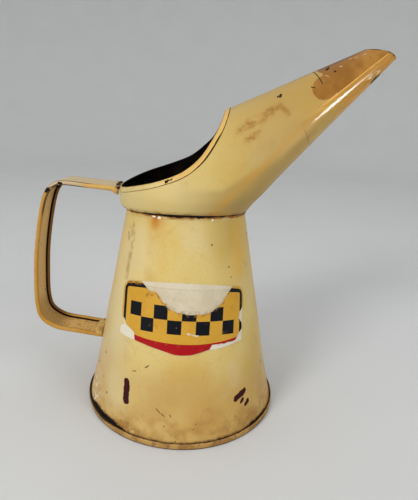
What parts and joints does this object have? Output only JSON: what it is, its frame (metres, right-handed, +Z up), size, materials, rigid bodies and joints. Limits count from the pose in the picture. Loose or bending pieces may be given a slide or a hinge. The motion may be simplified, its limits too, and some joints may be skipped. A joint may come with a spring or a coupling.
{
  "type": "oil pouring jug",
  "caption": "Free-standing sheet-metal oil jug: tapered body on a seamed base, hooded open mouth running into a long slanted spout, and a strap handle with rolled edges, for filling engines.",
  "frame": {"origin": "centre of the base plate's underside, on the surface that the jug stands on", "axes": "+Z up along the body's axis, +X from the handle towards the spout, the label on the -Y side"},
  "size_m": [0.2209, 0.133, 0.2328],
  "materials": {
    "cream_paint": "aged gloss enamel, stained and chipped",
    "edge_wire": "drawn wire, dull",
    "old_solder": "painted-over soft solder, rust stained",
    "label_paper": "printed paper label, torn and rubbed"
  },
  "bodies": {
    "root": {"base_plate": "cream_paint", "body_cone": "cream_paint", "hood_spout": "cream_paint", "mouth_hem": "cream_paint", "handle_strap": "cream_paint", "handle_wire_left": "edge_wire", "handle_wire_right": "edge_wire", "neck_solder": "old_solder", "handle_top_solder": "old_solder", "handle_foot_solder": "old_solder", "label": "label_paper"}
  },
  "joints": []
}
